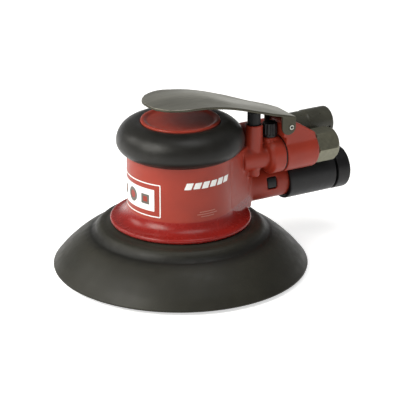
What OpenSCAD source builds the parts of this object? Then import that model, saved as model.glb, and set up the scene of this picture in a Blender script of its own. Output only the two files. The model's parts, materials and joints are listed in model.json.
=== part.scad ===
// Pneumatic random-orbit palm sander with a central dust outlet.
// Millimetres. The origin is on the motor axis at the pad's sanding face.
// +Z is up, +X points to the air inlet and the dust hose, +Y to the muffler side.

/* [Pad] */
// Diameter of the sanding pad
pad_d = 150; // [125:1:180]
// Thickness of the hook-face sheet under the foam
pad_facing_t = 1.2; // [0.8:0.1:2]
// Thickness of the pad's foam
pad_foam_t = 8; // [6:0.5:10]
// How much smaller the foam's radius is at its top than at its face
pad_foam_taper = 6; // [3:0.5:9]
// Thickness of the pad's stiff backing plate
pad_plate_t = 3; // [2:0.5:4]
// Height of the backing plate's middle boss
pad_boss_h = 2.8; // [2:0.2:4]
// Diameter of the circle that the pad's centre travels
orbit_d = 4.8; // [2.4:0.2:5]
// Number of dust holes in the pad
dust_holes = 6; // [3:1:9]
// Diameter of a dust hole
dust_hole_d = 10; // [6:0.5:12]
// Diameter of the circle that the dust holes lie on
dust_pcd = 80; // [70:1:90]

/* [Dust shroud] */
// Space between the shroud's rim and the pad at the far end of its orbit
shroud_gap = 1; // [0.6:0.1:4]
// Wall of the shroud at its rim
shroud_t = 2.1; // [1.6:0.1:3]
// Height of the shroud's rim above the work
shroud_rim_z = 2; // [1:0.5:4]

/* [Motor housing] */
// Outer diameter of the housing's barrel
body_d = 67; // [60:1:84]
// Wall between the housing's barrel and the motor bore
body_wall = 3; // [2.5:0.1:4]
// Flat border of the flange outside the flare
flange_lip = 1.8; // [1.6:0.1:4]
// Thickness of that flange
flange_t = 3.2; // [2.6:0.1:4]
// Radius of the concave flare between the flange and the barrel
flare_r = 9; // [7:0.5:11]
// How far the housing's wedge reaches behind the barrel
wedge_reach = 16.5; // [14:0.5:18]
// Radius of the wedge's round rear end
wedge_r = 12; // [10:0.5:13]
// How deep the red disc inside the palm grip is dished
cap_dish = 1.2; // [0.4:0.2:2]

/* [Palm grip] */
// How far the palm grip stands out from the barrel
grip_overhang = 6.5; // [5:0.5:9]
// Diameter of the palm grip's round section
grip_section_d = 25.6; // [24:0.2:27]
// Radius of the flatter curve on the grip's underside
grip_under_r = 16; // [14:0.5:20]

/* [Motor] */
// Length of the rotor's cylinder
cylinder_h = 22; // [18:0.2:27]
// Distance between the rotor's axis and the axis of the cylinder's bore
cylinder_offset = 2; // [1.4:0.1:2.4]
// Diameter of the rotor
rotor_d = 39.8; // [36:0.2:40]
// Thickness of an end plate
end_plate_t = 5; // [4:0.5:6]
// Number of vanes
vanes = 5; // [4:1:6]
// Thickness of a vane
vane_t = 1.9; // [1.4:0.1:2.4]
// Running clearance of the motor's parts
motor_play = 0.1; // [0.05:0.05:0.2]

/* [Rear tubes] */
// Sideways place of the inlet's axis
inlet_y = -11; // [-12:0.5:-10]
// Outer diameter of the inlet barrel
barrel_d = 24.4; // [22:0.2:29.4]
// Length of the inlet barrel
barrel_len = 23.7; // [20:0.5:30]
// Width across the flats of the hex inlet bushing
hex_af = 19.2; // [17:0.1:23]
// Length of the hex that shows
hex_len = 17; // [12:0.5:20]
// Wall radius of the tapped air inlet
inlet_hole_r = 5.6; // [5:0.1:6]
// Sideways place of the dust outlet's axis
vac_y = 2; // [2:0.5:4]
// Outer diameter of the red dust tube
vac_tube_d = 22.4; // [21:0.2:23]
// Outer diameter of the black dust fitting
vac_fit_d = 27.2; // [26:0.2:32.8]
// Length of the red dust tube behind the barrel
vac_tube_len = 43; // [38:0.5:48]
// Length of the black dust fitting behind the tube's end
vac_fit_len = 33; // [26:0.5:36]
// Outer diameter of the swivelling hose cuff
cuff_d = 27.4; // [26:0.1:33]
// Length of the hose cuff
cuff_len = 9.8; // [9:0.2:14]
// How much higher the muffler's axis is than the inlet's
muffler_rise = 7.1; // [5:0.1:8]
// Outer diameter of the muffler
muffler_d = 18.8; // [17:0.2:19.4]
// Length of the red tube in front of the muffler, measured from the barrel
muffler_tube_len = 44.5; // [38:0.5:48]
// Length of the muffler
muffler_len = 37.6; // [30:0.2:42]

/* [Throttle] */
// Space between the palm grip and the throttle post
post_gap = 1.1; // [0.8:0.1:2]
// Wall of the throttle post around the plunger
post_wall = 1.2; // [1:0.1:2]
// Diameter of the ribbed plunger
plunger_d = 8.8; // [8.2:0.1:10.6]
// Diameter of the valve spool
spool_d = 5.6; // [4.8:0.02:6.8]
// Diameter of the lever's hollow pin
pin_d = 3; // [2.5:0.1:3.6]
// Thickness of the lever's steel sheet
lever_t = 1.6; // [1.2:0.1:2]
// Height of the lever's upper face above the middle of its pin
lever_over_pin = 7.7; // [7:0.1:10]
// Radius of the lever's long bend
lever_bend_r = 130; // [108:1:156]
// Radius of the lever's round palm end
lever_palm_r = 21.5; // [18:0.5:24]
// Angle that the lever turns through when it is pressed
lever_travel = 6.5; // [4:0.5:6.5]

/* [Speed regulator] */
// Space between the throttle post and the regulator's dial
reg_gap = 1.5; // [1:0.1:3]
// Diameter of the regulator's dial
reg_d = 9.2; // [7.6:0.1:11]
// Height of the regulator's dial
reg_h = 9; // [7:0.5:10]

/* [Hidden] */
$fn = 96;
eps = 0.05;
fit_gap = 0.05;

// Pad and orbit
pad_r = pad_d / 2;
orbit_e = orbit_d / 2;
pad_foam_z = pad_facing_t;
pad_plate_z = pad_foam_z + pad_foam_t;
pad_boss_z = pad_plate_z + pad_plate_t;
pad_plate_r = pad_r - pad_foam_taper - 5;
pad_boss_r = 16;
stud_r = 4;
stud_len = 9;
stud_z = pad_plate_z + 0.8;

// Spindle, carried in the cup of the balancer shaft
spindle_z = pad_boss_z + pad_boss_h;
spindle_flange_t = 3;
spindle_flange_r = 9;
spindle_r = 6;
cup_z = spindle_z + spindle_flange_t + 0.6;
snap_t = 1;
sb_z = cup_z + 1.6;
sb_h = 12;
sb_r = 14;
sb_pitch = 10;
sb_ball_r = 2.2;
sb_balls = 9;
sb_rows = [sb_h / 4, sb_h * 3 / 4];
cup_r = sb_r + 4;
cup_relief_r = 9.5;
cup_top_z = sb_z + sb_h + 2.8;
web_z = cup_top_z + 4;
weight_z = cup_z + 6.4;
weight_top_z = cup_top_z + 2;

// Motor stack, from the lower bearing up
body_r = body_d / 2;
bore_r = body_r - body_wall;
lb_z = web_z + 1;
lb_h = 9;
lb_r = 16;
lb_in = 7.5;
lb_pitch = 11.75;
lb_ball_r = 2.3;
lb_balls = 9;
lb_rows = [lb_h / 2];
lock_h = 5.8;
plate_lo_z = lb_z + 6;
cyl_z = plate_lo_z + end_plate_t;
plate_up_z = cyl_z + cylinder_h;
ub_z = plate_up_z + end_plate_t;
ub_h = 8;
ub_r = 13;
ub_in = 5;
ub_pitch = 9;
ub_ball_r = 1.9;
ub_balls = 8;
ub_rows = [ub_h / 2];
ub_wall = 2.8;
shaft_top_z = ub_z + ub_h + 2.4;
shaft_r = 7;
key_w = 3;
rotor_r = rotor_d / 2;
cyl_bore_r = rotor_r + cylinder_offset + motor_play;
cyl_r = bore_r - 0.2;
weight_r = bore_r - 0.5;
vane_len = 7.6;
vane_slot = vane_len + 0.4;

// Housing levels
flange_r = body_r + flare_r + flange_lip;
spigot_z = cup_z + 5.9;
flange_z = spigot_z + 6.5;
flare_z = flange_z + flange_t;
spigot_r = flange_r - 1.8;
chamber_r = spigot_r - 3;
chamber_top_z = flange_z + 1;
motor_top_z = ub_z + 0.2;
cavity_r = ub_r + ub_wall + 0.5;
cavity_top_z = shaft_top_z + 1.1;
grip_r = grip_section_d / 2;
grip_ring_r = body_r + grip_overhang - grip_r;
cap_r = grip_ring_r - 2.4;
cap_z = cavity_top_z + 8.1;
cap_rim = 2;
shoulder_z = motor_top_z + 0.8;
grip_z = cap_z - 1.1 - grip_r;
grip_lip_z = grip_z + 8;
grip_low_z = grip_z - 10.2;
wedge_top_z = grip_low_z + 1.8;
wedge_x = body_r + wedge_reach - wedge_r;

// Shroud
rim_r = pad_r + orbit_e + shroud_gap + shroud_t;
shoulder_r = spigot_r + 15;
valley_z = flange_z - 7.6;
shroud_steps = 10;
cone_wall_r = 1.5;
cone_wall_z = 1.7;
cone_end_z = shroud_rim_z + 0.6;
foam_clear = 0.35;

// The cone bulges a little, and more where its inner side has to clear the foam's upper edge
// at the far end of the orbit
cone_least_bulge = 0.14;
cone_in_r = shoulder_r - cone_wall_r;
cone_in_z = valley_z - cone_wall_z;
foam_edge_t = (pad_r - pad_foam_taper + orbit_e + foam_clear - cone_in_r) / (rim_r - shroud_t - cone_in_r);
cone_bulge = max(cone_least_bulge, (1 - (cone_in_z - pad_plate_z - foam_clear)
  / ((cone_in_z - cone_end_z) * foam_edge_t)) / (1 - foam_edge_t));

// Heights and sideways places of the rear tubes, each clear of its neighbours
barrel_r = barrel_d / 2;
hex_r = hex_af / 2 / cos(30);
inlet_reach = max(barrel_r, hex_r + 0.4);
vac_r = vac_tube_d / 2;
vac_fit_r = vac_fit_d / 2;
vac_z = flare_z + vac_r - 1.8;
tube_gap = 0.45;
inlet_z = vac_z + sqrt(pow(inlet_reach + vac_fit_r + tube_gap, 2) - pow(vac_y - inlet_y, 2));
muffler_r = muffler_d / 2;
muffler_z = inlet_z + muffler_rise;
muffler_gap = 1.04;
muffler_y = inlet_y + sqrt(pow(inlet_reach + muffler_r + muffler_gap, 2) - pow(muffler_rise, 2));

// Places along X, from the palm grip back to the lever's pin
plunger_r = plunger_d / 2;
post_r = plunger_r + post_wall;
post_x = body_r + grip_overhang + post_gap + post_r;
reg_r = reg_d / 2;
reg_x = post_x + post_r + reg_gap + reg_r;
lug_r = 4.2;
pin_x = reg_x + reg_r + 0.4 + lug_r;
pin_z = max(inlet_z + barrel_r + 7.7, cap_z - 11.3);
post_top_z = pin_z + 2.7;

// Rear tubes
block_r = 7.3;
block_x = body_r + 3;
collar_r = barrel_r - 0.2;
collar_x = reg_x - reg_r + 0.2;
seal_t = 0.8;
barrel_x = pin_x - 2.3;
collar_end = barrel_x - seal_t;
barrel_end = barrel_x + barrel_len;
barrel_spigot_r = 8;
barrel_spigot_len = 2.6;
air_r = 4.5;
bushing_r = inlet_hole_r + 1.3;
bushing_len = 12;
hex_end = barrel_end + hex_len;
hex_chamfer = 3;
tap_depth = 14;
screen_t = 0.8;
screen_r = inlet_hole_r - 0.4;
screen_x = hex_end - tap_depth - screen_t;
vac_bore = vac_r - 1.9;
vac_tube_x = body_r + vac_tube_len;
vac_lap = 2;
vac_fit_end = vac_tube_x + vac_fit_len;
neck_r = vac_fit_r - 2.1;
neck_len = 6;
cuff_r = cuff_d / 2;
cuff_x = vac_fit_end + 1.7;
cuff_round = 1.6;
window_x = vac_tube_x - 17.8;
window_l = 7.3;
window_h = 7.6;
window_z = vac_z + 1.9;
muffler_x = body_r + muffler_tube_len;
muffler_tube_r = muffler_r - 0.7;
muffler_bore = muffler_tube_r - 2.5;
muffler_step = 19;
muffler_end = muffler_x + muffler_len;
vent_r = 0.8;
vent_pitch = 4.2;
vent_end = 4;

// Throttle
spool_r = spool_d / 2;
boss_r = spool_r + 1.3;
boss_z = inlet_z - 12.4;
spool_z = inlet_z - 2.9;
waist_z = inlet_z + 2.5;
waist_h = 3.3;
guide_z = inlet_z + 6.4;
guide_top_z = post_top_z - 6.2;
guide_r = spool_r + 1.2;
spool_ring_z = [spool_z + 1.2, guide_z + 5.6];
plug_h = 1.8;
plug_z = boss_z + 0.6;
port_r = 2.2;
plunger_stroke = (pin_x - post_x) * lever_travel * PI / 180 * 1.13;
plunger_z = guide_top_z + plunger_stroke + 0.5;
lever_gap = 0.25;
lever_bend_x = -10;
lever_slope_x = 30;
lever_slope = asin((lever_slope_x - lever_bend_x) / lever_bend_r);
lever_top_z = pin_z + lever_over_pin + lever_bend_r * (1 - cos(lever_slope))
  + (pin_x - lever_slope_x) * tan(lever_slope);
lever_rear_x = pin_x + 3.4;
ear_t = lever_t;
lug_half = 9.3;
ear_in = lug_half + 0.2;
ear_out = ear_in + ear_t;
ear_r = 5.1;
pin_r = pin_d / 2;
palm_c = [-4, -2.5];

// Height of the lever's upper face at a distance x from the motor axis
function lever_z(x) = x <= lever_slope_x
  ? lever_top_z - lever_bend_r + sqrt(lever_bend_r * lever_bend_r - pow(x - lever_bend_x, 2))
  : lever_z(lever_slope_x) - (x - lever_slope_x) * tan(lever_slope);
plunger_dome_r = 7;
plunger_top_z = lever_z(post_x) + plunger_dome_r
  - (lever_t + lever_gap + plunger_dome_r) / cos(lever_slope);

// Speed regulator
reg_stem_r = 2.4;
reg_boss_r = reg_r + 0.4;
reg_boss_z = inlet_z + collar_r + 0.6;

// ---------- shared shapes ----------

// A ring or a tube standing on the XY plane
module ring(r_out, r_in, h) {
  rotate_extrude()
    translate([r_in, 0])
      square([r_out - r_in, h]);
}

// Places a child that stands on +Z so that it points along +X from the given place
module along_x(x, y, z) {
  translate([x, y, z])
    rotate([0, 90, 0])
      children();
}

// A round bar along +X
module bar_x(x, y, z, r, len) {
  along_x(x, y, z)
    cylinder(r = r, h = len);
}

// Extrudes an outline drawn in X and Z along Y, between y0 and y1
module slab_y(y0, y1) {
  translate([0, y1, 0])
    rotate([90, 0, 0])
      linear_extrude(y1 - y0)
        children();
}

// Half of a ball bearing: the ring between r_a and r_b with its raceways cut
module bearing_ring(r_a, r_b, h, pitch, ball, rows) {
  rotate_extrude()
    difference() {
      translate([r_a, 0])
        square([r_b - r_a, h]);
      for (zr = rows)
        translate([pitch, zr])
          circle(r = ball + fit_gap);
    }
}

module bearing_balls(n, pitch, ball, rows) {
  for (zr = rows)
    for (i = [0 : n - 1])
      rotate(i * 360 / n)
        translate([pitch, 0, zr])
          sphere(r = ball);
}

// Ring that keeps the balls apart, thinner than the gap between the two rings
module bearing_cage(n, pitch, ball, rows, wall, h) {
  difference() {
    translate([0, 0, -h / 2 + (rows[0] + rows[len(rows) - 1]) / 2])
      ring(pitch + wall / 2, pitch - wall / 2, h);
    for (zr = rows)
      for (i = [0 : n - 1])
        rotate(i * 360 / n)
          translate([pitch - wall, 0, zr])
            rotate([0, 90, 0])
              cylinder(r = ball + fit_gap, h = 2 * wall);
  }
}

// Open spring ring with a gap towards +X
module snap_ring(r_out, r_in, h) {
  difference() {
    ring(r_out, r_in, h);
    translate([0, -1.5, -eps])
      cube([r_out + 1, 3, h + 2 * eps]);
  }
}

// An O-ring around Z
module o_ring(r_mid, section_r) {
  rotate_extrude()
    translate([r_mid, 0])
      circle(r = section_r, $fn = 32);
}

// ---------- housing ----------

module housing_solid_profile() {
  translate([chamber_r, spigot_z])
    square([spigot_r - chamber_r, flange_z - spigot_z + eps]);
  translate([bore_r, flange_z])
    square([flange_r - flange_t / 2 - bore_r, flange_t]);
  translate([flange_r - flange_t / 2, flange_z + flange_t / 2])
    circle(r = flange_t / 2);
  difference() {
    translate([bore_r, flare_z - eps])
      square([body_r + flare_r - bore_r, flare_r + eps]);
    translate([body_r + flare_r, flare_z + flare_r])
      circle(r = flare_r);
  }
  polygon([[bore_r, flange_z], [body_r, flange_z], [body_r, shoulder_z], [cap_r, grip_lip_z],
    [cap_r, cap_z - 0.5], [cap_r - 0.5, cap_z], [cap_r - cap_rim, cap_z],
    [cap_r - 2 * cap_rim, cap_z - cap_dish], [0, cap_z - cap_dish], [0, cavity_top_z],
    [cavity_r, cavity_top_z], [cavity_r, motor_top_z], [bore_r, motor_top_z]]);
}

// Plan of the barrel with its wedge-shaped rear
module wedge_plan() {
  s = (body_r - wedge_r) / wedge_x;
  c = sqrt(1 - s * s);
  circle(r = body_r);
  translate([wedge_x, 0])
    circle(r = wedge_r);
  polygon([[body_r * s, body_r * c], [wedge_x + wedge_r * s, wedge_r * c],
    [wedge_x + wedge_r * s, -wedge_r * c], [body_r * s, -body_r * c]]);
}

module motor_bore() {
  translate([0, 0, flange_z - 1])
    cylinder(r = bore_r, h = motor_top_z - flange_z + 1);
  translate([0, 0, motor_top_z - eps])
    cylinder(r = cavity_r, h = cavity_top_z - motor_top_z + eps);
  translate([0, 0, spigot_z - 1])
    cylinder(r = chamber_r, h = chamber_top_z - spigot_z + 1);
}

// Passages for dust, exhaust air and supply air
module housing_passages() {
  bar_x(body_r + 0.5, vac_y, vac_z, vac_bore, vac_tube_x - body_r);
  translate([body_r + 0.2, vac_y - 6, spigot_z + 3])
    cube([7, 12, vac_z - spigot_z - 3]);
  bar_x(body_r + 9, muffler_y, muffler_z, muffler_bore, muffler_x - body_r - 8);
  translate([bore_r - 2.5, 3.5, inlet_z - 8])
    cube([body_wall + 12, 5, 12.6]);
  bar_x(bore_r - 5, inlet_y, inlet_z, port_r, collar_x - bore_r + 6);
  bar_x(collar_x - 1.5, inlet_y, inlet_z, air_r, collar_end - collar_x + 2);
  bar_x(collar_end - barrel_spigot_len, inlet_y, inlet_z, barrel_spigot_r + fit_gap,
    barrel_spigot_len + 1);
  translate([window_x, vac_y - vac_r - 1, window_z - window_h / 2])
    cube([window_l, vac_r, window_h]);
}

// Stepped upright bore for the plunger, its guide, the spool and the spring
module valve_bores() {
  translate([post_x, inlet_y, 0]) {
    translate([0, 0, boss_z - 1])
      cylinder(r = spool_r + fit_gap, h = guide_z - boss_z + 2);
    translate([0, 0, guide_z])
      cylinder(r = guide_r, h = guide_top_z - guide_z + eps);
    translate([0, 0, guide_top_z])
      cylinder(r = plunger_r + 0.2, h = post_top_z - guide_top_z + 1);
  }
  translate([reg_x, inlet_y, inlet_z - 3.4])
    cylinder(r = reg_stem_r + fit_gap, h = reg_boss_z - inlet_z + 5);
}

module rear_arms() {
  bar_x(body_r - 2, vac_y, vac_z, vac_r, vac_tube_x - body_r + 2);
  bar_x(body_r - 1, muffler_y, muffler_z, muffler_tube_r, muffler_x - body_r + 1);
  bar_x(block_x, inlet_y, inlet_z, block_r, collar_x - block_x + 1);
  along_x(collar_x, inlet_y, inlet_z) {
    cylinder(r1 = block_r + 2.2, r2 = collar_r, h = 2.4);
    translate([0, 0, 2.4])
      cylinder(r = collar_r, h = collar_end - collar_x - 2.4);
  }
  translate([post_x, inlet_y, inlet_z])
    cylinder(r = post_r, h = post_top_z - inlet_z);
  translate([post_x, inlet_y, boss_z])
    cylinder(r = boss_r, h = inlet_z - boss_z);
  translate([reg_x, inlet_y, inlet_z])
    cylinder(r = reg_boss_r, h = reg_boss_z - inlet_z);
}

// Section of the palm grip: round above, flatter below, grown by extra
module grip_section(extra) {
  intersection() {
    translate([grip_ring_r, grip_z])
      circle(r = grip_r + extra);
    translate([grip_ring_r, grip_low_z + grip_under_r])
      circle(r = grip_under_r + extra);
  }
}

module motor_housing() {
  color("firebrick")
    difference() {
      union() {
        rotate_extrude()
          housing_solid_profile();
        difference() {
          union() {
            translate([0, 0, flange_z + 1])
              linear_extrude(wedge_top_z - flange_z - 1)
                wedge_plan();
            rear_arms();
          }
          difference() {
            rotate_extrude()
              grip_section(0.3);
            translate([0, 0, grip_z - grip_r - 1])
              cylinder(r = body_r - 0.5, h = 2 * grip_r + 2);
          }
        }
      }
      motor_bore();
      housing_passages();
      valve_bores();
    }
}

// Rubber ring moulded round the top of the housing
module palm_grip() {
  color("#23231f")
    rotate_extrude()
      difference() {
        grip_section(0);
        polygon([[0, 0], [body_r, 0], [body_r, shoulder_z], [cap_r, grip_lip_z], [cap_r, cap_z + 5],
          [0, cap_z + 5]]);
      }
}

// Rubber skirt: a clamped neck, a soft shoulder and a wide cone
module dust_shroud() {
  function cone_z(t, z0) = z0 - (z0 - cone_end_z) * t * (1 - cone_bulge + cone_bulge * t);
  outer = [for (i = [0 : shroud_steps]) let (t = i / shroud_steps)
    [shoulder_r + (rim_r - shoulder_r) * t, cone_z(t, valley_z)]];
  inner = [for (i = [shroud_steps : -1 : 0]) let (t = i / shroud_steps)
    [cone_in_r + (rim_r - shroud_t - cone_in_r) * t, cone_z(t, cone_in_z)]];
  color("#26261f")
    rotate_extrude()
      polygon(concat(
        [[spigot_r, flange_z], [spigot_r + 1.5, flange_z - 0.6], [spigot_r + 4.2, flange_z - 2.4],
          [spigot_r + 7.5, flange_z - 3], [spigot_r + 9.5, flange_z - 3.7],
          [spigot_r + 11.3, flange_z - 5.2], [spigot_r + 12.8, flange_z - 6.8]],
        outer,
        [[rim_r, shroud_rim_z], [rim_r - shroud_t, shroud_rim_z]],
        inner,
        [[spigot_r + 10.6, flange_z - 7.6], [spigot_r + 8.4, flange_z - 5.8], [spigot_r + 6, flange_z - 5],
          [spigot_r + 3.4, flange_z - 4.6], [spigot_r + 3.4, spigot_z], [spigot_r, spigot_z]]));
}

// ---------- motor ----------

// Threaded ring that clamps the motor stack in its bore
module lock_ring() {
  color("dimgray")
    translate([0, 0, plate_lo_z - lock_h])
      difference() {
        ring(bore_r - 0.1, lb_r + 5, lock_h);
        for (a = [0 : 90 : 270])
          rotate(a)
            translate([bore_r - 5, 0, -eps])
              cylinder(r = 1.6, h = 3);
      }
}

module lower_end_plate() {
  color("silver")
    difference() {
      union() {
        translate([0, 0, plate_lo_z])
          cylinder(r = cyl_r, h = end_plate_t);
        translate([0, 0, lb_z])
          cylinder(r = lb_r + 4, h = plate_lo_z - lb_z + eps);
      }
      translate([0, 0, lb_z - eps])
        cylinder(r = lb_r, h = lb_h + eps);
      translate([0, 0, lb_z])
        cylinder(r = lb_in + 2, h = cyl_z - lb_z + 1);
      dowel();
    }
}

module upper_end_plate() {
  color("silver")
    difference() {
      union() {
        translate([0, 0, plate_up_z])
          cylinder(r = cyl_r, h = end_plate_t);
        translate([0, 0, ub_z - eps])
          cylinder(r = ub_r + ub_wall, h = ub_h + 0.2);
      }
      translate([0, 0, ub_z])
        cylinder(r = ub_r, h = ub_h + 1);
      translate([0, 0, plate_up_z - 1])
        cylinder(r = shaft_r + 0.3, h = end_plate_t + 2);
      dowel();
    }
}

module cylinder_liner_bore() {
  translate([0, cylinder_offset, cyl_z - 1])
    cylinder(r = cyl_bore_r, h = cylinder_h + 2);
}

// Dowel across the end plates and the cylinder, and the hole it fills
module dowel() {
  rotate(200)
    translate([cyl_r - 3, 0, plate_lo_z + 2])
      cylinder(r = 1.25, h = cylinder_h + 2 * end_plate_t - 4);
}

module rotor_cylinder() {
  color("gainsboro")
    difference() {
      translate([0, 0, cyl_z])
        cylinder(r = cyl_r, h = cylinder_h);
      cylinder_liner_bore();
      bar_x(rotor_r, inlet_y, inlet_z, port_r, bore_r);
      for (i = [-1 : 1])
        translate([rotor_r - 4, 3.5, inlet_z - 5 + 5 * i])
          cube([bore_r, 5, 2.6]);
      dowel();
    }
}

// Dowel that stops the cylinder and the end plates from turning
module cylinder_pin() {
  color("lightgray")
    dowel();
}

// Seals between the end plates and the housing, seated in the plates' outer corners
module housing_o_rings() {
  color("black") {
    translate([0, 0, ub_z + 1.2])
      o_ring(cavity_r - 0.25, 0.24);
    translate([0, 0, plate_lo_z - lock_h - 0.6])
      o_ring(bore_r - 0.6, 0.55);
  }
}

module rotor() {
  color("slategray")
    difference() {
      translate([0, 0, cyl_z + motor_play])
        cylinder(r = rotor_r, h = cylinder_h - 2 * motor_play);
      cylinder(r = shaft_r, h = shaft_top_z);
      for (i = [0 : vanes - 1])
        rotate(36 + i * 360 / vanes)
          translate([rotor_r - vane_slot, -vane_t / 2 - fit_gap, cyl_z - 1])
            cube([vane_slot + 1, vane_t + 2 * fit_gap, cylinder_h + 2]);
      rotor_key_solid();
    }
}

// Vanes, drawn resting in their slots as they do with the air off
module rotor_vanes() {
  color("saddlebrown")
    for (i = [0 : vanes - 1])
      rotate(36 + i * 360 / vanes)
        translate([rotor_r - vane_len - 0.05, -vane_t / 2, cyl_z + motor_play])
          cube([vane_len, vane_t, cylinder_h - 2 * motor_play]);
}

module rotor_key_solid() {
  translate([-shaft_r - key_w / 2, -key_w / 2, cyl_z + 5])
    cube([key_w, key_w, cylinder_h - 10]);
}

module rotor_key() {
  color("lightgray")
    rotor_key_solid();
}

// Shaft with the off-centre cup for the spindle bearing and its counterweight
module balancer_shaft() {
  color("darkgray")
    difference() {
      union() {
        translate([orbit_e, 0, cup_z])
          cylinder(r = cup_r, h = web_z - cup_z);
        translate([0, 0, web_z - eps])
          cylinder(r = lb_in + 2, h = lb_z - web_z + eps);
        translate([0, 0, lb_z - eps])
          cylinder(r = lb_in, h = lb_h + eps);
        translate([0, 0, lb_z + lb_h - eps])
          cylinder(r = shaft_r, h = ub_z - lb_z - lb_h + eps);
        translate([0, 0, ub_z - eps])
          cylinder(r = ub_in, h = shaft_top_z - ub_z + eps);
        intersection() {
          translate([0, 0, weight_z])
            cylinder(r = weight_r, h = weight_top_z - weight_z);
          translate([-weight_r - 1, -weight_r - 1, weight_z - 1])
            cube([weight_r - 4, 2 * weight_r + 2, weight_top_z]);
        }
      }
      translate([orbit_e, 0, cup_z - 1])
        cylinder(r = sb_r, h = sb_z + sb_h - cup_z + 1);
      translate([orbit_e, 0, cup_z])
        cylinder(r = cup_relief_r, h = cup_top_z - cup_z);
      translate([orbit_e, 0, sb_z - snap_t])
        cylinder(r = sb_r + 0.8, h = snap_t);
      translate([0, 0, ub_z + ub_h])
        ring(ub_in + 1, ub_in - 0.5, snap_t);
      rotor_key_solid();
    }
}

module shaft_snap_ring() {
  color("dimgray")
    translate([0, 0, ub_z + ub_h])
      snap_ring(ub_in + 1.6, ub_in - 0.5, snap_t);
}

// ---------- bearings ----------

module lower_bearing_outer_ring() {
  color("silver")
    translate([0, 0, lb_z])
      bearing_ring(lb_pitch + 1.2, lb_r, lb_h, lb_pitch, lb_ball_r, lb_rows);
}

module lower_bearing_inner_ring() {
  color("silver")
    translate([0, 0, lb_z])
      bearing_ring(lb_in, lb_pitch - 1.2, lb_h, lb_pitch, lb_ball_r, lb_rows);
}

module lower_bearing_balls() {
  color("lightsteelblue")
    translate([0, 0, lb_z])
      bearing_balls(lb_balls, lb_pitch, lb_ball_r, lb_rows);
}

module lower_bearing_cage() {
  color("peru")
    translate([0, 0, lb_z])
      bearing_cage(lb_balls, lb_pitch, lb_ball_r, lb_rows, 1.4, 7);
}

module upper_bearing_outer_ring() {
  color("silver")
    translate([0, 0, ub_z])
      bearing_ring(ub_pitch + 1, ub_r, ub_h, ub_pitch, ub_ball_r, ub_rows);
}

module upper_bearing_inner_ring() {
  color("silver")
    translate([0, 0, ub_z])
      bearing_ring(ub_in, ub_pitch - 1, ub_h, ub_pitch, ub_ball_r, ub_rows);
}

module upper_bearing_balls() {
  color("lightsteelblue")
    translate([0, 0, ub_z])
      bearing_balls(ub_balls, ub_pitch, ub_ball_r, ub_rows);
}

module upper_bearing_cage() {
  color("peru")
    translate([0, 0, ub_z])
      bearing_cage(ub_balls, ub_pitch, ub_ball_r, ub_rows, 1.2, 6);
}

module spindle_bearing_outer_ring() {
  color("silver")
    translate([orbit_e, 0, sb_z])
      bearing_ring(sb_pitch + 1.1, sb_r, sb_h, sb_pitch, sb_ball_r, sb_rows);
}

module spindle_bearing_inner_ring() {
  color("silver")
    translate([orbit_e, 0, sb_z])
      bearing_ring(spindle_r, sb_pitch - 1.1, sb_h, sb_pitch, sb_ball_r, sb_rows);
}

module spindle_bearing_balls() {
  color("lightsteelblue")
    translate([orbit_e, 0, sb_z])
      bearing_balls(sb_balls, sb_pitch, sb_ball_r, sb_rows);
}

module spindle_bearing_cage() {
  color("peru")
    translate([orbit_e, 0, sb_z])
      bearing_cage(sb_balls, sb_pitch, sb_ball_r, sb_rows, 1.4, sb_h - 1);
}

module spindle_bearing_retainer() {
  color("dimgray")
    translate([orbit_e, 0, sb_z - snap_t])
      snap_ring(sb_r + 0.75, sb_r - 1.6, snap_t);
}

// ---------- spindle and pad ----------

module spindle() {
  color("silver")
    translate([orbit_e, 0, 0])
      difference() {
        union() {
          translate([0, 0, spindle_z])
            cylinder(r = spindle_flange_r, h = spindle_flange_t);
          translate([0, 0, spindle_z])
            cylinder(r = spindle_r + 1.6, h = sb_z - spindle_z);
          translate([0, 0, spindle_z])
            cylinder(r = spindle_r, h = sb_z + sb_h + 2.2 - spindle_z);
        }
        translate([0, 0, spindle_z - 1])
          cylinder(r = stud_r, h = stud_len + 2);
        translate([0, 0, sb_z + sb_h])
          ring(spindle_r + 1, spindle_r - 0.6, snap_t);
        for (s = [-1, 1])
          translate([-10, s * 8 - (s > 0 ? 0 : 2), spindle_z - eps])
            cube([20, 2, spindle_flange_t + 2 * eps]);
      }
}

module spindle_snap_ring() {
  color("dimgray")
    translate([orbit_e, 0, sb_z + sb_h])
      snap_ring(spindle_r + 1.8, spindle_r - 0.6, snap_t);
}

// Threaded stud moulded into the backing plate
module pad_stud() {
  color("silver")
    translate([orbit_e, 0, 0]) {
      translate([0, 0, stud_z])
        cylinder(r = 8, h = 1.6, $fn = 6);
      translate([0, 0, stud_z])
        cylinder(r = stud_r - fit_gap, h = spindle_z + stud_len - stud_z);
    }
}

module dust_hole_set() {
  for (i = [0 : dust_holes - 1])
    rotate(i * 360 / dust_holes)
      translate([dust_pcd / 2, 0, -1])
        cylinder(r = dust_hole_d / 2, h = pad_boss_z + 2);
}

module pad_plate() {
  color("#303030")
    translate([orbit_e, 0, 0])
      difference() {
        union() {
          translate([0, 0, pad_plate_z])
            cylinder(r = pad_plate_r, h = pad_plate_t);
          translate([0, 0, pad_plate_z])
            cylinder(r = pad_boss_r, h = spindle_z - pad_plate_z);
        }
        translate([0, 0, stud_z])
          cylinder(r = stud_r - fit_gap, h = spindle_z);
        translate([0, 0, stud_z])
          cylinder(r = 8, h = 1.6, $fn = 6);
        dust_hole_set();
      }
}

module pad_foam() {
  color("#3d3d3b")
    translate([orbit_e, 0, 0])
      difference() {
        translate([0, 0, pad_foam_z])
          cylinder(r1 = pad_r, r2 = pad_r - pad_foam_taper, h = pad_foam_t);
        dust_hole_set();
      }
}

module pad_facing() {
  color("#4a4a44")
    translate([orbit_e, 0, 0])
      difference() {
        cylinder(r = pad_r, h = pad_facing_t);
        dust_hole_set();
      }
}

// ---------- air inlet ----------

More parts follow.
